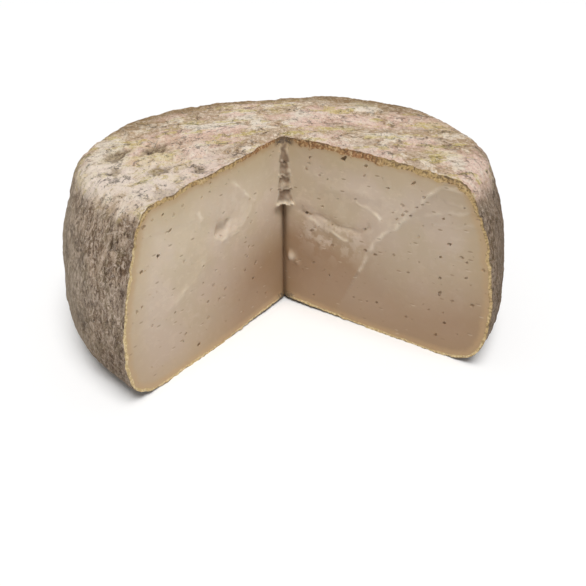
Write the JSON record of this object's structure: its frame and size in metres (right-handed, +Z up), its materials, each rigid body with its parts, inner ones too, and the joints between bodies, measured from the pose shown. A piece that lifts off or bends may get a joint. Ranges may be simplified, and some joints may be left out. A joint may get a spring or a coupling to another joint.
{
  "type": "goat tomme",
  "caption": "Cut wheel of goat's milk tomme: grey-brown natural rind, sagging side, and an open wedge-shaped cut that shows the pale paste.",
  "frame": {"origin": "on the surface the wheel rests on, under the middle of the cut wheel's bounding box", "axes": "+Z up; the open cut faces -Y; +X to the right when the cut is seen from the front"},
  "size_m": [0.214, 0.1942, 0.0867],
  "materials": {
    "cheese": "dry, rough and mottled natural rind; matte, fine-grained pale paste on the cut faces"
  },
  "bodies": {
    "root": {"cheese": "cheese"}
  },
  "joints": []
}
